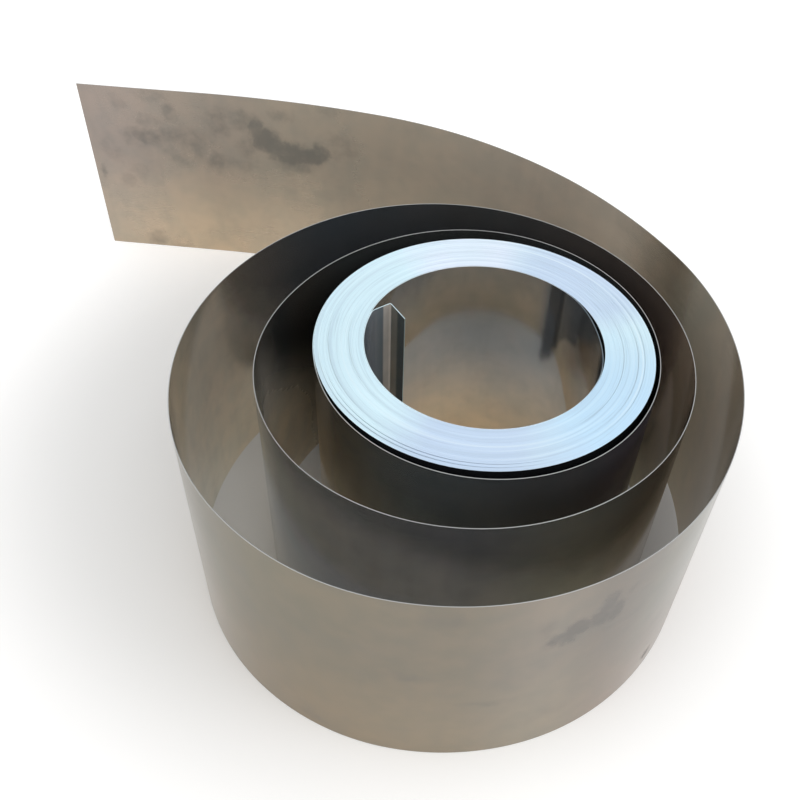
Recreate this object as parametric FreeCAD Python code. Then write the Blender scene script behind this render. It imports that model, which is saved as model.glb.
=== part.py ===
"""Aluminium flashing coil: one strip of sheet, wound tight on a bore and sprung loose outside.

Units are millimetres. The coil stands on its end, so the strip's width is upright along Z.
The loose end trails away to the left (-X) behind the coil. The base is at z = 0, and the
origin is under the middle of the bounding box.
"""
import math
import os

import FreeCAD
import Part

# Strip of sheet
strip_width = 150.0
strip_thickness = 0.5

# Tight winding
bore_diameter = 135.4
wound_turns = 58

# Rings that show on both ends: a shallow V groove between each group of turns
turns_per_ring = 5
groove_width = 0.5
groove_depth = 0.4

# Loose turns. The strip leaves the winding at this angle from +X, going counter-clockwise.
loose_start_angle = 190.0

# Bends of the loose turns in order: radius as a ratio to the winding's outside radius, and
# sweep in degrees
turn_1_left_bend_ratio = 1.16
turn_1_left_sweep = 18.0
turn_1_front_bend_ratio = 0.993
turn_1_front_sweep = 118.0
turn_1_back_bend_ratio = 1.086
turn_1_back_sweep = 153.0
turn_2_left_bend_ratio = 1.375
turn_2_left_sweep = 49.0
turn_2_corner_bend_ratio = 1.158
turn_2_corner_sweep = 73.0
turn_2_front_bend_ratio = 1.21
turn_2_front_sweep = 29.0
turn_2_right_bend_ratio = 1.324
turn_2_right_sweep = 108.0
turn_2_back_bend_ratio = 1.448
turn_2_back_sweep = 115.0
turn_3_left_bend_ratio = 1.665
turn_3_left_sweep = 72.0
turn_3_corner_bend_ratio = 1.51
turn_3_corner_sweep = 61.0
turn_3_front_bend_ratio = 1.655
turn_3_front_sweep = 66.5
turn_3_right_bend_ratio = 1.954
turn_3_right_sweep = 59.0

# Loose end: it straightens out as it leaves the third turn
tail_curve_bend_ratio = 3.206
tail_curve_sweep = 49.0
tail_sag_bend_ratio = 7.86
tail_sag_sweep = 10.5
tail_straight = 100.6

# Inner end of the strip, bent off the bore wall and folded over into the bore
hook_start_angle = 168.0
hook_root_bend = 6.0
hook_root_sweep = 37.0
hook_flat = 9.2
hook_fold_bend = 1.2
hook_fold_sweep = 92.0
hook_lip = 15.0

# Innermost turn, bowed off the next one between these angles from +X
bow_start_angle = -20.0
bow_end_angle = 48.0
bow_depth = 1.8


def point(x, y):
    return FreeCAD.Vector(x, y, 0)


def ahead(angle, distance):
    """The step of this length in the direction of this angle."""
    return point(distance * math.cos(angle), distance * math.sin(angle))


def left_of(angle, distance):
    """The step of this length square to this direction, to its left."""
    return ahead(angle + math.pi / 2, distance)


def strip_on_edge(radius, angle_deg, way, runs):
    """Stand the strip on its edge along a path of straight runs and tangent bends.

    The path starts square to the radius at angle_deg, counter-clockwise where way is 1 and
    clockwise where way is -1. Each run is (length, None) for a flat, or (radius, sweep in
    degrees) for a bend, which curves towards the bore.
    """
    half = strip_thickness / 2
    angle = math.radians(angle_deg)
    here = ahead(angle, radius)
    heading = angle + way * math.pi / 2
    left_side = []
    right_side = []
    for size, sweep in runs:
        if sweep is None:
            there = here + ahead(heading, size)
            for side, offset in ((left_side, half), (right_side, -half)):
                step = left_of(heading, offset)
                side.append(Part.makeLine(here + step, there + step))
        else:
            turn = way * math.radians(sweep)
            centre = here + left_of(heading, way * size)
            for side, offset in ((left_side, half), (right_side, -half)):
                reach = offset - way * size
                start, middle, end = (
                    centre + left_of(heading + turn * share, reach) for share in (0, 0.5, 1)
                )
                side.append(Part.Arc(start, middle, end).toShape())
            there = centre - left_of(heading + turn, way * size)
            heading += turn
        here = there
    close_start = Part.makeLine(left_side[0].Vertexes[0].Point, right_side[0].Vertexes[0].Point)
    close_end = Part.makeLine(right_side[-1].Vertexes[-1].Point, left_side[-1].Vertexes[-1].Point)
    outline = Part.Wire(right_side + [close_end] + left_side[::-1] + [close_start])
    return Part.Face(outline).extrude(FreeCAD.Vector(0, 0, strip_width))


bore_radius = bore_diameter / 2
coil_radius = bore_radius + wound_turns * strip_thickness

# Tight winding, turned from its half section with the grooves on both ends
ring_width = turns_per_ring * strip_thickness
ring_count = int((coil_radius - bore_radius) / ring_width)
lower_end = [(bore_radius, 0)]
for ring in range(1, ring_count + 1):
    middle = bore_radius + ring * ring_width
    lower_end.append((middle - groove_width / 2, 0))
    lower_end.append((middle, groove_depth))
    lower_end.append((middle + groove_width / 2, 0))
lower_end.append((coil_radius, 0))
upper_end = [(radius, strip_width - height) for radius, height in reversed(lower_end)]
section = [FreeCAD.Vector(radius, 0, height) for radius, height in lower_end + upper_end]
section.append(section[0])
winding = Part.Face(Part.makePolygon(section)).revolve(
    FreeCAD.Vector(0, 0, 0), FreeCAD.Vector(0, 0, 1), 360
)

# Loose turns and loose end, from the outermost tight turn outwards
loose_bends = (
    (turn_1_left_bend_ratio, turn_1_left_sweep),
    (turn_1_front_bend_ratio, turn_1_front_sweep),
    (turn_1_back_bend_ratio, turn_1_back_sweep),
    (turn_2_left_bend_ratio, turn_2_left_sweep),
    (turn_2_corner_bend_ratio, turn_2_corner_sweep),
    (turn_2_front_bend_ratio, turn_2_front_sweep),
    (turn_2_right_bend_ratio, turn_2_right_sweep),
    (turn_2_back_bend_ratio, turn_2_back_sweep),
    (turn_3_left_bend_ratio, turn_3_left_sweep),
    (turn_3_corner_bend_ratio, turn_3_corner_sweep),
    (turn_3_front_bend_ratio, turn_3_front_sweep),
    (turn_3_right_bend_ratio, turn_3_right_sweep),
    (tail_curve_bend_ratio, tail_curve_sweep),
    (tail_sag_bend_ratio, tail_sag_sweep),
)
loose_runs = [(coil_radius * bend, sweep) for bend, sweep in loose_bends]
loose_runs.append((tail_straight, None))
loose_turns = strip_on_edge(
    coil_radius - strip_thickness, loose_start_angle, 1, loose_runs
)

# Hook at the inner end, from inside the innermost tight turn
hook = strip_on_edge(
    bore_radius + strip_thickness,
    hook_start_angle,
    -1,
    [
        (hook_root_bend, hook_root_sweep),
        (hook_flat, None),
        (hook_fold_bend, hook_fold_sweep),
        (hook_lip, None),
    ],
)

# Bowed stretch of the innermost turn: an arc flatter than the bore, ending inside its wall
bow_sides = []
for face_radius in (bore_radius, bore_radius + strip_thickness):
    bow_sides.append(
        [
            ahead(math.radians(bow_start_angle), face_radius + strip_thickness / 2),
            ahead(math.radians((bow_start_angle + bow_end_angle) / 2), face_radius - bow_depth),
            ahead(math.radians(bow_end_angle), face_radius + strip_thickness / 2),
        ]
    )
inner_side, outer_side = bow_sides
bow_outline = Part.Wire(
    [
        Part.Arc(*inner_side).toShape(),
        Part.makeLine(inner_side[-1], outer_side[-1]),
        Part.Arc(*outer_side).toShape(),
        Part.makeLine(outer_side[0], inner_side[0]),
    ]
)
bow = Part.Face(bow_outline).extrude(FreeCAD.Vector(0, 0, strip_width))

coil = winding.fuse([loose_turns, hook, bow]).removeSplitter()
box = coil.BoundBox
coil.translate(FreeCAD.Vector(-box.Center.x, -box.Center.y, -box.ZMin))

os.makedirs("parts", exist_ok=True)
coil.exportStep("parts/flashing_strip.step")
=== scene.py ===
"""Looks of the aluminium flashing coil: its strip as thin sheet, and its weathered mill finish,
with reflections, highlights and shade painted into the colours of the sheet and its cut edges.

Lengths are in metres in the CAD's frame. The strip is followed from the fold at its inner end,
round all its turns, to the cut at its loose end, and drawn in three stretches: the inner end,
the tight turns as one closed roll with a groove between each two, and the loose turns.
"""
import math
import random

import bpy
from mathutils import Matrix, Vector


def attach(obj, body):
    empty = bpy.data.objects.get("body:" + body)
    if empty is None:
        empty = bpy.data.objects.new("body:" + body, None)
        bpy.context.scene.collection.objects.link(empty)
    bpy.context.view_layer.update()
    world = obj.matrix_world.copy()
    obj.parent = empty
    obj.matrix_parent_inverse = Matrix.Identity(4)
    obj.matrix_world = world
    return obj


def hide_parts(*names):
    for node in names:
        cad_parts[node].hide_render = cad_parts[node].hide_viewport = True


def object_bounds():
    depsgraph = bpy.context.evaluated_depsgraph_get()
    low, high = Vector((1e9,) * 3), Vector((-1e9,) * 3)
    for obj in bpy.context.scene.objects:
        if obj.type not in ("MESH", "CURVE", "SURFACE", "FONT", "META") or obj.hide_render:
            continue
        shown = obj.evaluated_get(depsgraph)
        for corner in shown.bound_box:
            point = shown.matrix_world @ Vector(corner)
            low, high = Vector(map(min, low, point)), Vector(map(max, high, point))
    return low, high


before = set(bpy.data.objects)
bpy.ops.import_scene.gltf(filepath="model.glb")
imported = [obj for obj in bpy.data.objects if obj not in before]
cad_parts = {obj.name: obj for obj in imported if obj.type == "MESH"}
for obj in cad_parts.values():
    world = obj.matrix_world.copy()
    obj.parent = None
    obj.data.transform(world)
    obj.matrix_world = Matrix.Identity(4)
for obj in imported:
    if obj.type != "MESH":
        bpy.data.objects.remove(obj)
cad_low, cad_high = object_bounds()

MM = 0.001

# Strip and winding, as in the CAD source
STRIP_WIDTH = 150 * MM
STRIP_THICKNESS = 0.5 * MM
BORE_RADIUS = 67.7 * MM
WOUND_TURNS = 58
COIL_RADIUS = BORE_RADIUS + WOUND_TURNS * STRIP_THICKNESS
LOOSE_START = 190.0

# Bends of the loose turns, as in the CAD source: ratio to the winding's radius, and sweep
LOOSE_BENDS = {
    "turn 1 left": (1.16, 18.0),
    "turn 1 front": (0.993, 118.0),
    "turn 1 back": (1.086, 153.0),
    "turn 2 left": (1.375, 49.0),
    "turn 2 corner": (1.158, 73.0),
    "turn 2 front": (1.21, 29.0),
    "turn 2 right": (1.324, 108.0),
    "turn 2 back": (1.448, 115.0),
    "turn 3 left": (1.665, 72.0),
    "turn 3 corner": (1.51, 61.0),
    "turn 3 front": (1.655, 66.5),
    "turn 3 right": (1.954, 59.0),
    "tail curve": (3.206, 49.0),
    "tail sag": (7.86, 10.5),
}
TAIL_STRAIGHT = 100.6 * MM

# Fold at the inner end, as in the CAD source
HOOK_START = 168.0
HOOK_ROOT = (6.0 * MM, 37.0)
HOOK_FLAT = 9.2 * MM
HOOK_FOLD = (1.2 * MM, 92.0)
HOOK_LIP = 15.0 * MM

# Innermost turn, bowed off the next one
BOW_FROM, BOW_TO = -20.0, 48.0
BOW_DEPTH = 1.8 * MM

# Sheet as drawn: a hair thinner than the winding's pitch, so that the turns part
SHEET = 0.44 * MM
EDGE_BEVEL = 0.05 * MM
SIDE_ROWS = 13
LOOSE_STEP = 4 * MM
HOOK_STEP = 0.5 * MM
STEPS_A_TURN = 120
END_RECESS = 0.35 * MM
TURN_SHIFT = 0.06 * MM
SHIFT_SEED = 7
LOOSENING = 0.15
LOOSE_WAVE = 0.3 * MM
END_TRIM = 0.1 * MM
SHARP_ANGLE = 30.0

# Waves of the loose strip: share of its wave, radians a metre along it and up it, and phase
WAVES = ((0.6, 23, 9, 0.0), (0.4, 61, -31, 1.3))

# Winding's ends: one crown for each turn, and the groove between two turns
CROWN = 0.40 * MM
GROOVE_DEPTH = 0.10 * MM
GAP_DEPTH_RATIO = 9.0

# Places round the winding where a turn stands a little off the next one:
# (turns in from the outside, angle of the middle, half width of the stretch, gap)
LOOSENED = (
    (5.5, 245.0, 62.0, 0.22 * MM),
    (9.0, 250.0, 58.0, 0.20 * MM),
    (12.0, -10.0, 70.0, 0.07 * MM),
    (19.0, -5.0, 62.0, 0.08 * MM),
    (35.0, -15.0, 75.0, 0.08 * MM),
    (17.0, 205.0, 50.0, 0.07 * MM),
    (27.0, 120.0, 55.0, 0.06 * MM),
    (40.0, 200.0, 60.0, 0.06 * MM),
)


def along(angle):
    """Unit step in the direction of this angle, in radians."""
    return Vector((math.cos(angle), math.sin(angle), 0))


def walk(start, heading, way, runs, step):
    """Points and headings along straight runs and tangent bends, which curve towards way."""
    here = start.copy()
    stations = [(here.copy(), heading)]
    for size, sweep in runs:
        if sweep is None:
            count = max(1, round(size / step))
            stations += [
                (here + along(heading) * (size * i / count), heading) for i in range(1, count + 1)
            ]
        else:
            turn = way * math.radians(sweep)
            centre = here + along(heading + math.pi / 2) * (way * size)
            count = max(2, round(abs(turn) * size / step))
            for i in range(1, count + 1):
                h = heading + turn * i / count
                stations.append((centre - along(h + math.pi / 2) * (way * size), h))
            heading += turn
        here = stations[-1][0]
    return stations


def hump(angle, middle, half_width):
    """1 at the middle angle, falling smoothly to 0 half_width away from it, in degrees."""
    away = abs((angle - middle + 180) % 360 - 180)
    return math.cos(math.pi / 2 * away / half_width) ** 2 if away < half_width else 0.0


def hook_stations():
    """From the free end of the folded lip back to the bore wall."""
    angle = math.radians(HOOK_START)
    runs = [HOOK_ROOT, (HOOK_FLAT, None), HOOK_FOLD, (HOOK_LIP, None)]
    wall = BORE_RADIUS + STRIP_THICKNESS / 2
    stations = walk(along(angle) * wall, angle - math.pi / 2, -1, runs, HOOK_STEP)
    return [(point, heading + math.pi) for point, heading in reversed(stations)]


WOUND_SWEEP = 360.0 * (WOUND_TURNS - 1) + LOOSE_START - HOOK_START


def wound_station(turned):
    """Place on the tight winding after turning this many degrees from the hook."""
    first = BORE_RADIUS + STRIP_THICKNESS / 2
    last = COIL_RADIUS - STRIP_THICKNESS
    angle = HOOK_START + turned
    radius = first + (last - first) * turned / WOUND_SWEEP
    turns_in = (WOUND_SWEEP - turned) / 360
    for depth, middle, half_width, gap in LOOSENED:
        if turns_in > depth:
            radius -= gap * hump(angle, middle, half_width)
    if turned < 360:
        radius -= BOW_DEPTH * hump(angle, (BOW_FROM + BOW_TO) / 2, (BOW_TO - BOW_FROM) / 2)
    radius = max(radius, BORE_RADIUS - BOW_DEPTH + STRIP_THICKNESS / 2)
    return along(math.radians(angle)) * radius, math.radians(angle) + math.pi / 2


def loose_stations():
    """From the winding round the loose turns to the cut at the loose end."""
    angle = math.radians(LOOSE_START)
    runs = [(COIL_RADIUS * ratio, sweep) for ratio, sweep in LOOSE_BENDS.values()]
    runs.append((TAIL_STRAIGHT, None))
    start = along(angle) * (COIL_RADIUS - STRIP_THICKNESS)
    return walk(start, angle + math.pi / 2, 1, runs, LOOSE_STEP)


def box_centre(stations):
    """Middle of the plan of the sheet that follows these stations."""
    half = STRIP_THICKNESS / 2
    plan = [p + along(h + math.pi / 2) * side for p, h in stations for side in (-half, half)]
    xs, ys = [p.x for p in plan], [p.y for p in plan]
    return Vector(((min(xs) + max(xs)) / 2, (min(ys) + max(ys)) / 2, 0))


# The strip's path, in order: hook, whole turns, the last part of a turn, loose turns
hook, loose = hook_stations(), loose_stations()
whole_steps = STEPS_A_TURN * (WOUND_TURNS - 1)
last_sweep = WOUND_SWEEP - 360.0 * (WOUND_TURNS - 1)
last_steps = math.ceil(last_sweep * STEPS_A_TURN / 360)
whole = [wound_station(360.0 * i / STEPS_A_TURN) for i in range(1, whole_steps + 1)]
last = [
    wound_station(WOUND_SWEEP - last_sweep * (1 - i / last_steps)) for i in range(1, last_steps)
]
path = hook + whole + last + loose
wall_start = len(hook) - 1
roll_start = wall_start + STEPS_A_TURN
roll_end = wall_start + whole_steps
loose_start = roll_end + last_steps

cad_middle = (cad_low + cad_high) / 2
axis = Vector((cad_middle.x, cad_middle.y, 0)) - box_centre(loose)

# The wave could carry the loose end past the box, so it is drawn a hair shorter
end_point, end_heading = path[-1]
path[-1] = (end_point - along(end_heading) * END_TRIM, end_heading)


def run_lengths():
    """Distance along the strip of each station, counted from where the loose turns leave."""
    run = [0.0]
    for (a, _), (b, _) in zip(path, path[1:]):
        run.append(run[-1] + (b - a).length)
    return [r - run[loose_start] for r in run]


def looseness(run):
    """0 in the winding, 1 once the strip is well clear of it."""
    return min(1.0, max(0.0, run / LOOSENING))


def end_shifts():
    """How far the strip is shifted along the bore at each station, smooth between whole turns."""
    rng = random.Random(SHIFT_SEED)
    offsets = [rng.uniform(-1, 1) * TURN_SHIFT for _ in range(WOUND_TURNS + 3)]
    shifts = []
    for i, run in enumerate(runs):
        turn = min(max(0.0, (i - wall_start) / STEPS_A_TURN), WOUND_TURNS)
        low = int(turn)
        share = turn - low
        share = share * share * (3 - 2 * share)
        offset = offsets[low] * (1 - share) + offsets[low + 1] * share
        shifts.append(END_RECESS / 2 + offset * (1 - looseness(run)))
    return shifts


runs = run_lengths()
shifts = end_shifts()


# The strip's meshes. Faces wear material 0 on the sheet's sides and 1 on its cut edges.
# The UV map holds the distance along the strip and the height, with 1 added on the side
# that faces the bore.

class Shell:
    """A closed mesh in the making."""

    def __init__(self):
        self.verts, self.uvs, self.faces, self.kinds = [], [], [], []

    def point(self, place, u, v):
        self.verts.append(tuple(place))
        self.uvs.append((u, v))
        return len(self.verts) - 1

    def face(self, corners, kind, flip=False):
        self.faces.append(corners[::-1] if flip else corners)
        self.kinds.append(kind)

    def piece(self, name):
        mesh = bpy.data.meshes.new(name)
        mesh.from_pydata(self.verts, [], self.faces)
        layer = mesh.uv_layers.new(name="strip")
        for loop in mesh.loops:
            layer.data[loop.index].uv = self.uvs[loop.vertex_index]
        for polygon, kind in zip(mesh.polygons, self.kinds):
            polygon.material_index = kind
            polygon.use_smooth = True
        mesh.set_sharp_from_angle(angle=math.radians(SHARP_ANGLE))
        piece = bpy.data.objects.new(name, mesh)
        bpy.context.scene.collection.objects.link(piece)
        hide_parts("flashing_strip")
        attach(piece, "root")
        return piece


STRIP_TOP = STRIP_WIDTH - END_RECESS


def side_heights():
    """Heights of the rows up one side, between the two cut edges' bevels."""
    low, high = EDGE_BEVEL, STRIP_TOP - EDGE_BEVEL
    return [low + (high - low) * i / (SIDE_ROWS - 1) for i in range(SIDE_ROWS)]


def wave(run, z):
    """How far the loose strip waves towards the bore, a springy sheet being never quite true."""
    ripple = sum(
        share * math.sin(per_run * run + per_z * z + phase)
        for share, per_run, per_z, phase in WAVES
    )
    return LOOSE_WAVE * looseness(run) * (1 + ripple) / 2


def build_sheet(name, first, last):
    """The strip from one station to another, as a closed sheet with bevelled edges."""
    shell = Shell()
    flat, narrow = SHEET / 2, SHEET / 2 - EDGE_BEVEL
    rows = [(0.0, narrow)] + [(z, flat) for z in side_heights()] + [(STRIP_TOP, narrow)]
    rings = []
    for i in range(first, last + 1):
        point, heading = path[i]
        square = along(heading + math.pi / 2)
        inner, outer = [], []
        for z, half in rows:
            base = axis + point + square * wave(runs[i], z) + Vector((0, 0, z + shifts[i]))
            inner.append(shell.point(base + square * half, runs[i], z + 1.0))
            outer.append(shell.point(base - square * half, runs[i], z))
        rings.append((inner, outer))
    for (in_a, out_a), (in_b, out_b) in zip(rings, rings[1:]):
        for j in range(len(rows) - 1):
            kind = 1 if j in (0, len(rows) - 2) else 0
            shell.face([out_a[j], out_b[j], out_b[j + 1], out_a[j + 1]], kind)
            shell.face([in_a[j], in_b[j], in_b[j + 1], in_a[j + 1]], kind, flip=True)
        shell.face([in_a[0], in_b[0], out_b[0], out_a[0]], 1)
        shell.face([out_a[-1], out_b[-1], in_b[-1], in_a[-1]], 1)
    for (inner, outer), flip in ((rings[0], False), (rings[-1], True)):
        for j in range(len(rows) - 1):
            shell.face([inner[j], outer[j], outer[j + 1], inner[j + 1]], 1, flip)
    return shell.piece(name)


def build_roll(name):
    """The tight turns as one closed roll: on both ends a crown for each turn, and grooves between."""
    shell = Shell()
    count = roll_end - roll_start
    inward = {"top": [], "bottom": []}
    outward = {"top": [], "bottom": []}
    grooves = {"top": [], "bottom": []}
    for i in range(count + 1):
        point, _ = path[roll_start + i]
        run, shift = runs[roll_start + i], shifts[roll_start + i]
        out = point.normalized()
        for end, z in (("top", STRIP_TOP + shift), ("bottom", shift)):
            base = axis + point + Vector((0, 0, z))
            inward[end].append(shell.point(base - out * (CROWN / 2), run, z + 1.0))
            outward[end].append(shell.point(base + out * (CROWN / 2), run, z))
    for i in range(count + 1 - STEPS_A_TURN):
        point, _ = path[roll_start + i]
        beyond, _ = path[roll_start + i + STEPS_A_TURN]
        gap = max(0.0, (beyond - point).length - STRIP_THICKNESS)
        depth = GROOVE_DEPTH + GAP_DEPTH_RATIO * gap
        shift = shifts[roll_start + i]
        for end, z in (("top", STRIP_TOP + shift - depth), ("bottom", shift + depth)):
            place = axis + (point + beyond) / 2 + Vector((0, 0, z))
            grooves[end].append(shell.point(place, runs[roll_start + i], z))

    for end, flip in (("top", False), ("bottom", True)):
        a, b, g = inward[end], outward[end], grooves[end]
        for i in range(count):
            shell.face([a[i], b[i], b[i + 1], a[i + 1]], 1, flip)
        for i in range(count - STEPS_A_TURN):
            j = i + STEPS_A_TURN
            shell.face([b[i], g[i], g[i + 1], b[i + 1]], 1, flip)
            shell.face([g[i], a[j], a[j + 1], g[i + 1]], 1, flip)

    def wall(side, columns, way, base_v, flip):
        """Rows up the bore's or the outer wall, over one turn, and their columns of points."""
        heights = side_heights()[1:-1]
        grid = []
        for i in columns:
            point, _ = path[roll_start + i]
            run, shift = runs[roll_start + i], shifts[roll_start + i]
            face = axis + point + point.normalized() * (way * CROWN / 2)
            middle = [
                shell.point(face + Vector((0, 0, z + shift)), run, z + base_v) for z in heights
            ]
            grid.append([side["bottom"][i], *middle, side["top"][i]])
        for p, q in zip(grid, grid[1:]):
            for j in range(len(p) - 1):
                shell.face([p[j], q[j], q[j + 1], p[j + 1]], 0, flip)
        return grid[0], grid[-1]

    bore_first, bore_last = wall(inward, range(STEPS_A_TURN + 1), -1, 1.0, True)
    outer_first, outer_last = wall(outward, range(count - STEPS_A_TURN, count + 1), 1, 0.0, False)
    start = [outward["bottom"][0], grooves["bottom"][0], *bore_last]
    start += [grooves["top"][0], outward["top"][0], *reversed(bore_first)]
    shell.face(start, 0)
    end = [grooves["bottom"][-1], inward["bottom"][-1], *outer_last]
    end += [inward["top"][-1], grooves["top"][-1], *reversed(outer_first)]
    shell.face(end, 0, flip=True)
    return shell.piece(name)


strip_pieces = [
    build_sheet("flashing_strip_inner_end", 0, roll_start),
    build_roll("flashing_strip_tight_turns"),
    build_sheet("flashing_strip_loose_turns", roll_end, len(path) - 1),
]


# Materials

class Nodes:
    """Short calls for building one material's node tree."""

    def __init__(self, name):
        self.material = bpy.data.materials.new(name)
        self.material.use_nodes = True
        self.tree = self.material.node_tree
        self.shader = self.tree.nodes["Principled BSDF"]

    def add(self, kind, **settings):
        node = self.tree.nodes.new(kind)
        for key, value in settings.items():
            setattr(node, key, value)
        return node

    def plug(self, value, socket):
        if isinstance(value, bpy.types.NodeSocket):
            self.tree.links.new(value, socket)
        else:
            socket.default_value = value

    def math(self, operation, a, b=0.0):
        node = self.add("ShaderNodeMath", operation=operation)
        for value, socket in zip((a, b), node.inputs):
            self.plug(value, socket)
        return node.outputs[0]

    def ramp(self, value, low, high, to_low=0.0, to_high=1.0, kind="SMOOTHSTEP"):
        """Value from low to high brought to the range from to_low to to_high."""
        node = self.add("ShaderNodeMapRange", interpolation_type=kind)
        for v, socket in zip((value, low, high, to_low, to_high), node.inputs):
            self.plug(v, socket)
        return node.outputs[0]

    def window(self, value, start, full, still_full, end):
        """1 from full to still_full, falling smoothly to 0 at start and at end."""
        return self.math(
            "MULTIPLY", self.ramp(value, start, full), self.ramp(value, end, still_full)
        )

    def vector(self, x, y, z=0.0):
        node = self.add("ShaderNodeCombineXYZ")
        for value, socket in zip((x, y, z), node.inputs):
            self.plug(value, socket)
        return node.outputs[0]

    def vector_math(self, operation, a, b=(0.0, 0.0, 0.0)):
        node = self.add("ShaderNodeVectorMath", operation=operation)
        self.plug(a, node.inputs[0])
        self.plug(b, node.inputs[1])
        return node.outputs["Value" if operation in ("LENGTH", "DOT_PRODUCT") else "Vector"]

    def noise(self, vector, scale, detail=3.0, roughness=0.5, output="Fac"):
        node = self.add("ShaderNodeTexNoise")
        self.plug(vector, node.inputs["Vector"])
        node.inputs["Scale"].default_value = scale
        node.inputs["Detail"].default_value = detail
        node.inputs["Roughness"].default_value = roughness
        return node.outputs[output]

    def drawn_out_noise(self, vector, scales, *pattern):
        return self.noise(self.vector_math("MULTIPLY", vector, scales), *pattern)

    def mix(self, factor, a, b, blend="MIX"):
        node = self.add("ShaderNodeMix", data_type="RGBA", blend_type=blend)
        self.plug(factor, node.inputs["Factor"])
        self.plug(a, node.inputs["A"])
        self.plug(b, node.inputs["B"])
        return node.outputs["Result"]

    def along_strip(self, s, stops):
        """Colour that changes along the strip. Stops are places in metres, each with its colour."""
        first, last = stops[0][0], stops[-1][0]
        node = self.add("ShaderNodeValToRGB")
        node.color_ramp.interpolation = "EASE"
        points = node.color_ramp.elements
        while len(points) < len(stops):
            points.new(0.5)
        for point, (place, colour) in zip(points, stops):
            point.position = (place - first) / (last - first)
        for point, (place, colour) in zip(points, stops):
            point.color = (*colour, 1)
        self.plug(self.ramp(s, first, last, kind="LINEAR"), node.inputs["Fac"])
        return node.outputs["Color"]


def strip_coordinates(n):
    """Distance along the strip, height up it, and 1 on the side that faces the bore."""
    uv = n.add("ShaderNodeUVMap", uv_map="strip")
    parts = n.add("ShaderNodeSeparateXYZ")
    n.plug(uv.outputs["UV"], parts.inputs[0])
    s, v = parts.outputs[0], parts.outputs[1]
    facing_in = n.math("GREATER_THAN", v, 0.5)
    return s, n.math("SUBTRACT", v, facing_in), facing_in


# Tarnish along the strip, mixed with painted light: the low rows are lighter than the high ones
# as painted reflection of the floor, and the lighter and darker stretches along the strip are
# painted reflections and shade. Place in metres, and colour there
OUTSIDE_LOW = (
    (-0.05, (0.12, 0.13, 0.15)),
    (0.012, (1.0, 0.88, 0.70)),
    (0.04, (0.56, 0.55, 0.51)),
    (0.10, (0.38, 0.37, 0.35)),
    (0.25, (0.44, 0.43, 0.42)),
    (0.70, (0.42, 0.43, 0.42)),
    (0.86, (0.38, 0.385, 0.39)),
    (0.95, (0.355, 0.295, 0.22)),
    (1.35, (0.36, 0.31, 0.24)),
    (1.62, (0.262, 0.20, 0.125)),
    (1.74, (0.30, 0.247, 0.177)),
    (1.79, (0.33, 0.285, 0.22)),
    (1.85, (0.26, 0.195, 0.145)),
    (2.60, (0.345, 0.29, 0.22)),
)
OUTSIDE_HIGH = (
    (-0.05, (0.12, 0.13, 0.15)),
    (0.02, (0.11, 0.09, 0.075)),
    (0.045, (0.25, 0.225, 0.195)),
    (0.06, (0.36, 0.34, 0.30)),
    (0.12, (0.50, 0.58, 0.65)),
    (0.19, (0.43, 0.47, 0.52)),
    (0.25, (0.44, 0.43, 0.58)),
    (0.55, (0.42, 0.44, 0.54)),
    (0.70, (0.62, 0.66, 0.70)),
    (0.73, (0.27, 0.30, 0.35)),
    (0.84, (0.38, 0.42, 0.50)),
    (0.91, (0.51, 0.56, 0.55)),
    (0.96, (0.36, 0.315, 0.255)),
    (1.35, (0.34, 0.31, 0.27)),
    (1.62, (0.216, 0.19, 0.135)),
    (1.74, (0.225, 0.198, 0.157)),
    (1.79, (0.265, 0.235, 0.20)),
    (1.83, (0.19, 0.165, 0.14)),
    (1.88, (0.168, 0.159, 0.122)),
    (2.60, (0.32, 0.29, 0.24)),
)
INSIDE_LOW = (
    (0.0, (0.52, 0.53, 0.53)),
    (0.55, (0.98, 0.84, 0.62)),
    (0.70, (0.94, 0.83, 0.64)),
    (1.05, (0.72, 0.65, 0.45)),
    (1.28, (0.60, 0.60, 0.58)),
    (1.42, (1.0, 0.90, 0.72)),
    (1.50, (1.0, 0.95, 0.82)),
    (1.60, (0.96, 0.87, 0.71)),
    (1.99, (0.57, 0.48, 0.335)),
    (2.20, (0.43, 0.38, 0.29)),
    (2.42, (0.58, 0.485, 0.365)),
    (2.50, (0.54, 0.435, 0.315)),
    (2.59, (0.47, 0.39, 0.30)),
)
INSIDE_HIGH = (
    (0.0, (0.40, 0.43, 0.46)),
    (0.55, (0.40, 0.44, 0.44)),
    (0.60, (0.42, 0.38, 0.33)),
    (0.62, (0.31, 0.33, 0.33)),
    (0.65, (0.64, 0.61, 0.56)),
    (0.67, (0.40, 0.42, 0.40)),
    (1.05, (0.70, 0.54, 0.41)),
    (1.24, (0.47, 0.48, 0.46)),
    (1.34, (0.45, 0.50, 0.53)),
    (1.43, (0.98, 0.84, 0.67)),
    (1.50, (0.98, 0.88, 0.72)),
    (1.60, (0.86, 0.77, 0.64)),
    (1.99, (0.49, 0.42, 0.335)),
    (2.06, (0.31, 0.29, 0.24)),
    (2.13, (0.50, 0.44, 0.365)),
    (2.20, (0.385, 0.335, 0.275)),
    (2.34, (0.38, 0.33, 0.265)),
    (2.42, (0.37, 0.32, 0.255)),
    (2.50, (0.325, 0.28, 0.235)),
    (2.59, (0.33, 0.28, 0.25)),
)
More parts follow.
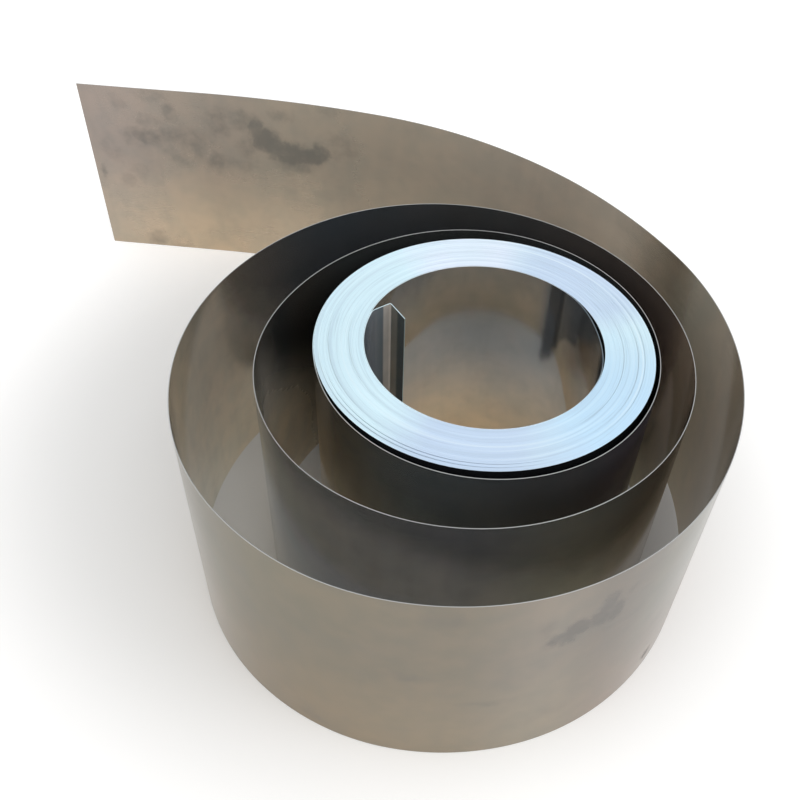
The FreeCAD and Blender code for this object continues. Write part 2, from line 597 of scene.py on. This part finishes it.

# The same for the inner end, painted light included, with places counted from where the hook
# meets the bore wall; the hook's flat is painted light
INNER_END_LOW = (
    (-0.0302, (0.26, 0.28, 0.27)),
    (-0.0152, (0.26, 0.28, 0.27)),
    (-0.0148, (0.95, 0.88, 0.80)),
    (-0.0098, (0.92, 0.85, 0.78)),
    (-0.0086, (0.26, 0.30, 0.34)),
    (0.0, (0.30, 0.33, 0.37)),
    (0.04, (0.94, 0.76, 0.53)),
)
INNER_END_HIGH = (
    (-0.0302, (0.26, 0.28, 0.27)),
    (-0.0152, (0.26, 0.28, 0.27)),
    (-0.0148, (0.90, 0.85, 0.80)),
    (-0.0098, (0.88, 0.83, 0.78)),
    (-0.0086, (0.24, 0.29, 0.33)),
    (0.0, (0.28, 0.31, 0.35)),
    (0.04, (0.50, 0.535, 0.57)),
)

# Stains: place along the strip and height up it, half length and half height, and strength
TAIL_STAINS = (
    (2.454, 0.122, 0.008, 0.015, 0.80),
    (2.446, 0.113, 0.014, 0.014, 0.92),
    (2.428, 0.105, 0.022, 0.012, 1.00),
    (2.413, 0.105, 0.016, 0.010, 0.95),
    (2.402, 0.109, 0.011, 0.009, 0.88),
    (2.422, 0.094, 0.020, 0.010, 0.66),
    (2.434, 0.136, 0.015, 0.008, 0.50),
    (2.386, 0.117, 0.018, 0.015, 0.50),
    (2.522, 0.107, 0.040, 0.019, 0.52),
    (2.544, 0.109, 0.018, 0.010, 0.66),
    (2.526, 0.110, 0.018, 0.010, 0.62),
    (2.508, 0.104, 0.018, 0.018, 0.60),
    (2.560, 0.106, 0.009, 0.009, 0.55),
    (2.518, 0.090, 0.013, 0.009, 0.52),
    (2.522, 0.130, 0.009, 0.010, 0.56),
    (2.541, 0.121, 0.012, 0.010, 0.54),
    (2.564, 0.136, 0.009, 0.009, 0.50),
    (2.484, 0.125, 0.013, 0.015, 0.62),
    (2.467, 0.129, 0.014, 0.012, 0.56),
    (2.489, 0.092, 0.011, 0.011, 0.62),
    (2.462, 0.106, 0.011, 0.015, 0.56),
    (2.478, 0.089, 0.034, 0.014, 0.46),
    (2.557, 0.076, 0.010, 0.012, 0.46),
    (2.568, 0.066, 0.009, 0.009, 0.50),
    (2.577, 0.094, 0.011, 0.014, 0.45),
    (2.588, 0.072, 0.003, 0.009, 0.52),
    (2.536, 0.145, 0.018, 0.007, 0.46),
    (2.392, 0.146, 0.012, 0.005, 0.45),
    (2.552, 0.008, 0.013, 0.010, 0.56),
    (2.534, 0.003, 0.014, 0.009, 0.50),
)
FRONT_STAINS = (
    (1.819, 0.124, 0.007, 0.013, 0.86),
    (1.825, 0.115, 0.006, 0.010, 0.82),
    (1.816, 0.115, 0.009, 0.009, 0.86),
    (1.803, 0.113, 0.010, 0.008, 0.90),
    (1.796, 0.108, 0.010, 0.008, 0.90),
    (1.787, 0.120, 0.007, 0.009, 0.55),
    (1.833, 0.128, 0.006, 0.006, 0.52),
    (1.738, 0.138, 0.014, 0.013, 0.50),
    (1.721, 0.083, 0.015, 0.005, 0.56),
    (1.764, 0.056, 0.018, 0.004, 0.50),
    (1.801, 0.030, 0.020, 0.009, 0.42),
    (1.667, 0.008, 0.008, 0.007, 0.60),
    (1.877, 0.014, 0.004, 0.005, 1.30),
)

# How far out a spot fades, in its half sizes; how much the blotches eat into it; the values
# between which a stain shows; and the strength from which it shows in full
SPOT_FADE = (1.6, 0.3)
BLOTCH_BITE = 1.3
STAIN_SHOWN = (0.05, 1.05)
STAIN_FULL = 0.7
STAIN_FRAY = 0.011
TAIL_STAIN = (0.10, 0.105, 0.10, 1)
FRONT_STAIN = (0.15, 0.145, 0.14, 1)
STAIN_COVER = 0.62

# Patterns of noise on the sheet: scale, detail and roughness
CLOUDS = (9.0, 3.0, 0.5)
MOTTLE = (55.0, 4.0, 0.6)
BLOTCHES = (75.0, 3.0, 0.6)
TINTS = (62.0, 2.0, 0.5)
FRAYING = (90.0, 4.0, 0.65)

# How far apart in the noise the strip's two sides are, so that they get unlike patterns
SIDES_APART = 3.7

# Patterns drawn out up the sheet or along it: scales along, up and across, then the rest
STREAKS = ((70.0, 5.0, 0.0), 1.0, 3.0, 0.6)
ROLLER_LINES = ((3.0, 320.0, 0.0), 1.0, 2.0, 0.5)

# Heights between which a side's low colours, lighter as painted reflection of the floor, give way
# to its high ones, shifted by the clouds. Outside they change between two places along the strip,
# and inside on the left stretch.
CLOUD_SHIFT = 0.05
OUTSIDE_FROM = (0.05, 0.12, 0.07, 0.0)
OUTSIDE_TO = (0.05, 0.12, 0.14, 0.11)
INSIDE_FROM, INSIDE_TO = 0.0, 0.11
LEFT_FROM, LEFT_TO = 0.055, 0.125

# How dull each pattern makes the sheet: the pattern's values, then the dullness there
DULL_CLOUDS = (0.35, 0.75, 0.0, 0.16)
DULL_MOTTLE = (0.4, 0.75, 0.0, 0.12)
DULL_STREAKS = (0.45, 0.8, 0.0, 0.10)
DULL = (0.20, 0.19, 0.175, 1)

# The two tints between which the sheet's colour varies
COOL_TINT = (0.95, 0.965, 0.965, 1)
WARM_TINT = (1.045, 1.02, 1.0, 1)

# Roughness, which grows towards the loose end, and what the outside, film, stains, clouds
# and roller lines add to it
WORN_END = (2.12, 2.42, 0.08, 0.26)
OUTSIDE_ROUGH, FILM_ROUGH, STAIN_ROUGH = 0.08, 0.25, 0.15
ROUGH_CLOUDS = (0.3, 0.7, -0.02, 0.05)
ROUGH_LINES = (0.35, 0.65, 0.0, 0.015)

# Stretches of the strip, as the places where each begins, is full, still is full and ends.
# The left one is the second turn's, seen across the gap at the left, counted from where the
# loose turns leave. The bowed and the dim one are counted from where the hook meets the wall.
LEFT_STRETCH = (0.57, 0.605, 0.645, 0.69)
BOWED_STRETCH = (0.185, 0.22, 0.27, 0.295)
DIM_STRETCH = (0.220, 0.236, 0.256, 0.290)

# The bore's wall is painted dim under the hook's mirror image, a painted reflection and shade,
# whose foot rises between two places
MIRROR_FOOT = (0.243, 0.285, 0.143, 0.108)
DIM_UNDER = (-0.004, 0.004, 0.012, 0.040)
PAINTED_REFLECTION_DIM = (0.07, 0.035, 0.015, 1)
DIM_COVER = 0.60

# Chalky film on the hook's flat and low on the second turn's inner wall: stretches as above,
# heights between which it fades, and how much it covers
HOOK_FILM = (-0.0152, -0.0148, 0.0, 0.02)
HOOK_FILM_COVER = 0.6
WALL_FILM = (0.45, 0.60, 0.72, 0.90)
WALL_FILM_HEIGHT = (0.11, 0.05)
WALL_FILM_COVER = 0.42
LEFT_FILM_TOP = (0.60, 0.66, 0.095, 0.145)
LEFT_FILM_FADE = (-0.015, 0.06)

# Metallic value of the bare sheet, and under the chalky film
BARE_METAL, FILMED_METAL = 0.93, 0.08

# Colours of the cut edges: along the tight turns, bright and bluish as painted reflection of the sky,
# their rings of painted shade and highlight, the bowed turn and the loose turns
TIGHT_EDGE = (0.70, 0.87, 0.94, 1)
DARK_RING = (0.42, 0.52, 0.62, 1)
BRIGHT_RING = (0.84, 0.93, 0.97, 1)
RING_LINE = (0.30, 0.38, 0.46, 1)
BOWED_EDGE = (0.20, 0.25, 0.29, 1)
LOOSE_EDGE = ((0.36, 0.37, 0.37, 1), (0.50, 0.51, 0.51, 1))

# Rings of slightly unlike shine on the winding's ends, painted shade and highlight as if turns
# that stand a little lower or higher caught less or more light: how far they are drawn out round
# it, their pattern, and the values between which they turn dark or bright and by how much
RING_ARCS = (4.0, 4.0, 0.0)
RINGS_A_METRE = 420.0
RING_PATTERN = (1.0, 2.0, 0.5)
DARK_RINGS = (0.52, 0.75, 0.0, 0.30)
BRIGHT_RINGS = (0.45, 0.2, 0.0, 0.5)
RING_LINE_WIDTH = 0.035
RING_LINE_COVER = 0.20

# Where the ends' painted sheen turns bluer or more lavender: angle round the winding, reach and
# colour
SHEENS = (
    (-30.0, 50.0, (0.61, 0.81, 0.96, 1)),
    (100.0, 30.0, (0.77, 0.85, 0.96, 1)),
    (-88.0, 42.0, (0.60, 0.72, 0.87, 1)),
    (50.0, 38.0, (0.60, 0.72, 0.87, 1)),
)

# Clouds on the cut edges: scale and detail, and how they change the sheens' reach and the
# roughness. Past the last tight turn the edges turn grey over a short length.
EDGE_CLOUDS = (16.0, 3.0)
SHEEN_CLOUDS = (0.3, 0.7, -0.05, 0.05)
EDGE_ROUGHNESS = (0.3, 0.7, 0.40, 0.48)
EDGE_GREYS_OVER = 0.03


def frayed_place(n, s, z):
    """The place on the strip, moved about by noise, so that the stains' outlines fray."""
    place = n.vector(s, z)
    shift = n.noise(place, *FRAYING, output="Color")
    middled = n.vector_math("SUBTRACT", shift, (0.5, 0.5, 0.5))
    fray = n.vector_math("MULTIPLY", middled, (STAIN_FRAY, STAIN_FRAY, 0.0))
    return n.vector_math("ADD", place, fray)


def stains(n, frayed, blotch, spots):
    """How stained the sheet is, from 0 to 1. Where a stain is weak, only its blotches show."""
    field = 0.0
    for at_s, at_z, half_s, half_z, strength in spots:
        away = n.vector_math("SUBTRACT", frayed, (at_s, at_z, 0.0))
        away = n.vector_math("DIVIDE", away, (half_s, half_z, 1.0))
        spot = n.ramp(n.vector_math("LENGTH", away), *SPOT_FADE, 0.0, strength)
        field = n.math("MAXIMUM", field, spot)
    rough_edge = n.math("MULTIPLY", n.math("SUBTRACT", blotch, 0.5), BLOTCH_BITE)
    shown = n.ramp(n.math("ADD", field, rough_edge), *STAIN_SHOWN)
    return n.math("MULTIPLY", shown, n.ramp(field, 0.0, STAIN_FULL, 0.0, 1.0, "LINEAR"))


def tarnish_and_painted_light(n, s, z, from_hook, left, facing_in, cloud):
    """Colour along the strip on both sides, each mixed from a low and a high row of colours:
    tarnished tone with the floor's painted reflection low down and painted light and shade along it.
    """
    shift = n.math("MULTIPLY", n.math("SUBTRACT", cloud, 0.5), CLOUD_SHIFT)
    height = n.math("ADD", z, shift)
    outer_upper = n.ramp(height, n.ramp(s, *OUTSIDE_FROM), n.ramp(s, *OUTSIDE_TO))
    upper_from = n.ramp(left, 0.0, 1.0, INSIDE_FROM, LEFT_FROM, "LINEAR")
    upper_to = n.ramp(left, 0.0, 1.0, INSIDE_TO, LEFT_TO)
    upper = n.ramp(height, upper_from, upper_to)
    outside = n.mix(outer_upper, n.along_strip(s, OUTSIDE_LOW), n.along_strip(s, OUTSIDE_HIGH))
    inside = n.mix(upper, n.along_strip(s, INSIDE_LOW), n.along_strip(s, INSIDE_HIGH))
    inner_end = n.mix(
        upper, n.along_strip(from_hook, INNER_END_LOW), n.along_strip(from_hook, INNER_END_HIGH)
    )
    inside = n.mix(n.math("LESS_THAN", s, -1.0), inside, inner_end)
    return n.mix(facing_in, outside, inside)


def painted_reflection_dimness(n, z, from_hook, facing_in):
    """How dim the bowed wall of the bore is painted under the hook's mirror image, from 0 to 1.
    This is painted reflection and shade.
    """
    under = n.math("SUBTRACT", n.ramp(from_hook, *MIRROR_FOOT, "LINEAR"), z)
    dim = n.math("MULTIPLY", n.window(from_hook, *DIM_STRETCH), n.window(under, *DIM_UNDER))
    return n.math("MULTIPLY", dim, facing_in)


def film_cover(n, s, z, from_hook, left, facing_in):
    """Chalky film on the hook's flat and low on the second turn's inner wall, from 0 to 1."""
    hook_film = n.math("MULTIPLY", n.window(from_hook, *HOOK_FILM), HOOK_FILM_COVER)
    wall_film = n.math("MULTIPLY", n.window(s, *WALL_FILM), n.ramp(z, *WALL_FILM_HEIGHT))
    wall_film = n.math("MULTIPLY", wall_film, WALL_FILM_COVER)
    below_top = n.math("SUBTRACT", n.ramp(s, *LEFT_FILM_TOP, "LINEAR"), z)
    left_film = n.math("MULTIPLY", left, n.ramp(below_top, *LEFT_FILM_FADE))
    film = n.math("MAXIMUM", hook_film, n.math("MAXIMUM", wall_film, left_film))
    return n.math("MULTIPLY", film, facing_in)


def sheet_material():
    """Mill finish: tarnished tone with painted reflections and shade, dull patches, tints, stains,
    film and the bore wall's painted dimness, with faint roller lines.
    """
    n = Nodes("mill_finish_and_painted_light")
    s, z, facing_in = strip_coordinates(n)
    facing_out = n.math("SUBTRACT", 1.0, facing_in)
    from_hook = n.math("SUBTRACT", s, runs[wall_start])
    flat = n.vector(s, z)
    place = n.vector(s, z, n.math("MULTIPLY", facing_in, SIDES_APART))
    cloud = n.noise(place, *CLOUDS)
    mottle = n.noise(place, *MOTTLE)
    blotch = n.noise(flat, *BLOTCHES)
    tint = n.ramp(n.noise(place, *TINTS), 0.3, 0.7)
    streaks = n.drawn_out_noise(flat, *STREAKS)
    rolled = n.drawn_out_noise(flat, *ROLLER_LINES)

    left = n.window(s, *LEFT_STRETCH)
    # Tarnished tone with painted light: the floor's painted reflection low down, painted light and
    # shade along the strip
    colour = tarnish_and_painted_light(n, s, z, from_hook, left, facing_in, cloud)
    dull = n.math("ADD", n.ramp(cloud, *DULL_CLOUDS), n.ramp(mottle, *DULL_MOTTLE))
    dull = n.math("ADD", dull, n.ramp(streaks, *DULL_STREAKS))
    colour = n.mix(dull, colour, DULL)
    colour = n.mix(1.0, colour, n.mix(tint, COOL_TINT, WARM_TINT), "MULTIPLY")

    frayed = frayed_place(n, s, z)
    tail_stain = n.math("MULTIPLY", stains(n, frayed, blotch, TAIL_STAINS), facing_in)
    front_stain = n.math("MULTIPLY", stains(n, frayed, blotch, FRONT_STAINS), facing_out)
    colour = n.mix(n.math("MULTIPLY", tail_stain, STAIN_COVER), colour, TAIL_STAIN)
    colour = n.mix(n.math("MULTIPLY", front_stain, STAIN_COVER), colour, FRONT_STAIN)
    # Painted reflection and shade: the bowed bore wall darkened under the hook's mirror image
    dim = painted_reflection_dimness(n, z, from_hook, facing_in)
    colour = n.mix(n.math("MULTIPLY", dim, DIM_COVER), colour, PAINTED_REFLECTION_DIM)
    n.plug(colour, n.shader.inputs["Base Color"])

    film = film_cover(n, s, z, from_hook, left, facing_in)
    metallic = n.ramp(film, 0.0, 1.0, BARE_METAL, FILMED_METAL, "LINEAR")
    n.plug(metallic, n.shader.inputs["Metallic"])

    stained = n.math("MAXIMUM", tail_stain, front_stain)
    rough = n.ramp(s, *WORN_END)
    for more in (
        n.math("MULTIPLY", facing_out, OUTSIDE_ROUGH),
        n.math("MULTIPLY", film, FILM_ROUGH),
        n.math("MULTIPLY", stained, STAIN_ROUGH),
        n.ramp(cloud, *ROUGH_CLOUDS),
        n.ramp(rolled, *ROUGH_LINES),
    ):
        rough = n.math("ADD", rough, more)
    n.plug(rough, n.shader.inputs["Roughness"])
    return n.material


def sheen(n, from_axis, radius, cloud):
    """Colour of the tight turns' edges round the winding, with its painted sheen."""
    colour = TIGHT_EDGE
    for angle, reach, tone in SHEENS:
        way = tuple(along(math.radians(angle)))
        towards = n.math("DIVIDE", n.vector_math("DOT_PRODUCT", from_axis, way), radius)
        towards = n.math("ADD", towards, n.ramp(cloud, *SHEEN_CLOUDS))
        colour = n.mix(n.ramp(towards, math.cos(math.radians(reach)), 1.0), colour, tone)
    return colour


def edge_material():
    """Slit edges: bright and bluish where the turns lie tight, as painted reflection of the sky with
    painted sheen and rings of painted shade and highlight, greyer along the loose turns.
    """
    n = Nodes("cut_edge")
    s, _, _ = strip_coordinates(n)
    place = n.add("ShaderNodeTexCoord").outputs["Object"]
    cloud = n.noise(place, *EDGE_CLOUDS)
    from_axis = n.vector_math("SUBTRACT", place, tuple(axis))
    from_axis = n.vector_math("MULTIPLY", from_axis, (1.0, 1.0, 0.0))
    radius = n.vector_math("LENGTH", from_axis)
    arcs = n.vector_math("MULTIPLY", from_axis, RING_ARCS)
    arcs = n.vector_math("ADD", arcs, n.vector(0.0, 0.0, n.math("MULTIPLY", radius, RINGS_A_METRE)))
    ring = n.noise(arcs, *RING_PATTERN)
    line = n.ramp(n.math("ABSOLUTE", n.math("SUBTRACT", ring, 0.5)), RING_LINE_WIDTH, 0.0)

    tight = sheen(n, from_axis, radius, cloud)
    # Rings of painted shade and highlight, and thin lines of painted shade
    tight = n.mix(n.ramp(ring, *DARK_RINGS), tight, DARK_RING)
    tight = n.mix(n.ramp(ring, *BRIGHT_RINGS), tight, BRIGHT_RING)
    tight = n.mix(n.math("MULTIPLY", line, RING_LINE_COVER), tight, RING_LINE)
    from_hook = n.math("SUBTRACT", s, runs[wall_start])
    tight = n.mix(n.window(from_hook, *BOWED_STRETCH), tight, BOWED_EDGE)
    colour = n.mix(n.ramp(s, 0.0, EDGE_GREYS_OVER), tight, n.mix(cloud, *LOOSE_EDGE))
    n.plug(colour, n.shader.inputs["Base Color"])
    n.shader.inputs["Metallic"].default_value = 1.0
    n.plug(n.ramp(cloud, *EDGE_ROUGHNESS), n.shader.inputs["Roughness"])
    return n.material


sheet, cut_edge = sheet_material(), edge_material()
for piece in strip_pieces:
    piece.data.materials.append(sheet)
    piece.data.materials.append(cut_edge)


# Floor, light and camera

FLOOR_REACH = 6.0
FLOOR_COLOUR = (0.93, 0.93, 0.925, 1)
WHITE = (1, 1, 1, 1)

# The floor turns pure white for the eye and for the metal between these distances from the middle
WHITE_FROM, WHITE_TO = 0.17, 0.34
WHITE_BOOST = 0.30

# Further out, where the lamps don't reach, it is brought up to the white of the surroundings
FAR_FROM, FAR_TO = 0.6, 2.5
FAR_BOOST = 0.16

# Light from all round on the object itself, where 1 is the white that the eye and the metal see
SURROUND_LIGHT = 0.6

# Lamps, which look at the object's middle: name, place, size and power
LAMPS = (
    ("key", (1.3, -1.0, 1.9), 2.2, 22.0),
    ("fill", (-1.5, -0.6, 1.9), 2.4, 16.0),
)

# Camera of the photo, found from the bore's and the winding's outlines and the upright lines.
# Its place is counted from the winding's axis, and its focal length is in pixels of the photo.
CAMERA_PLACE = Vector((0, -393.3, 502.3)) * MM
CAMERA_PITCH, CAMERA_YAW, CAMERA_ROLL = 45.865, 6.771, 1.487
PHOTO_WIDTH = 800
FOCAL_LENGTH = 928.3
SENSOR_WIDTH = 36.0


def build_floor():
    """Pale floor that takes the object's shadow and turns white further out."""
    mesh = bpy.data.meshes.new("floor")
    reach = FLOOR_REACH
    corners = [(-reach, -reach, 0), (reach, -reach, 0), (reach, reach, 0), (-reach, reach, 0)]
    mesh.from_pydata(corners, [], [(0, 1, 2, 3)])
    floor = bpy.data.objects.new("floor", mesh)
    bpy.context.scene.collection.objects.link(floor)
    n = Nodes("pale_floor")
    n.shader.inputs["Base Color"].default_value = FLOOR_COLOUR
    n.shader.inputs["Roughness"].default_value = 0.9
    n.shader.inputs["Specular IOR Level"].default_value = 0.1
    n.shader.inputs["Emission Color"].default_value = WHITE
    place = n.add("ShaderNodeTexCoord").outputs["Object"]
    away = n.vector_math("LENGTH", place)
    far = n.ramp(away, WHITE_FROM, WHITE_TO, 0.0, WHITE_BOOST)
    far = n.math("ADD", far, n.ramp(away, FAR_FROM, FAR_TO, 0.0, FAR_BOOST))
    n.plug(n.math("MULTIPLY", far, seen_ray(n.tree)), n.shader.inputs["Emission Strength"])
    mesh.materials.append(n.material)


def seen_ray(tree):
    """1 for rays from the camera and for rays that metal or glass reflects or lets through."""
    light_path = tree.nodes.new("ShaderNodeLightPath")
    seen = light_path.outputs["Is Camera Ray"]
    for name in ("Is Glossy Ray", "Is Transmission Ray"):
        either = tree.nodes.new("ShaderNodeMath")
        either.operation = "MAXIMUM"
        tree.links.new(seen, either.inputs[0])
        tree.links.new(light_path.outputs[name], either.inputs[1])
        seen = either.outputs[0]
    return seen


def build_light():
    """Even light from all round, and two large lamps."""
    world = bpy.data.worlds.new("studio")
    bpy.context.scene.world = world
    world.use_nodes = True
    background = world.node_tree.nodes["Background"]
    background.inputs["Color"].default_value = WHITE
    level = world.node_tree.nodes.new("ShaderNodeMapRange")
    world.node_tree.links.new(seen_ray(world.node_tree), level.inputs["Value"])
    level.inputs["To Min"].default_value = SURROUND_LIGHT
    level.inputs["To Max"].default_value = 1.0
    world.node_tree.links.new(level.outputs["Result"], background.inputs["Strength"])
    for name, place, size, power in LAMPS:
        lamp = bpy.data.lights.new(name, "AREA")
        lamp.size = size
        lamp.energy = power
        holder = bpy.data.objects.new(name, lamp)
        holder.location = place
        holder.rotation_mode = "QUATERNION"
        holder.rotation_quaternion = (cad_middle - Vector(place)).to_track_quat("-Z", "Y")
        bpy.context.scene.collection.objects.link(holder)


def build_camera():
    """The photo's view."""
    pitch, yaw, roll = (math.radians(a) for a in (CAMERA_PITCH, CAMERA_YAW, CAMERA_ROLL))
    right = Vector((1, 0, 0))
    up = Vector((0, math.sin(pitch), math.cos(pitch)))
    ahead = Vector((0, math.cos(pitch), -math.sin(pitch)))
    turn = Matrix.Rotation(yaw, 3, "Z")
    right, up, ahead = turn @ right, turn @ up, turn @ ahead
    right, up = (
        right * math.cos(roll) + up * math.sin(roll),
        up * math.cos(roll) - right * math.sin(roll),
    )
    data = bpy.data.cameras.new("photo_view")
    data.sensor_width = SENSOR_WIDTH
    data.lens = SENSOR_WIDTH * FOCAL_LENGTH / PHOTO_WIDTH
    camera = bpy.data.objects.new("photo_view", data)
    camera.matrix_world = Matrix((right, up, -ahead)).transposed().to_4x4()
    camera.location = axis + CAMERA_PLACE
    data.clip_start = 0.01
    bpy.context.scene.collection.objects.link(camera)
    bpy.context.scene.camera = camera


build_floor()
build_light()
build_camera()
bpy.context.scene.view_settings.view_transform = "Standard"
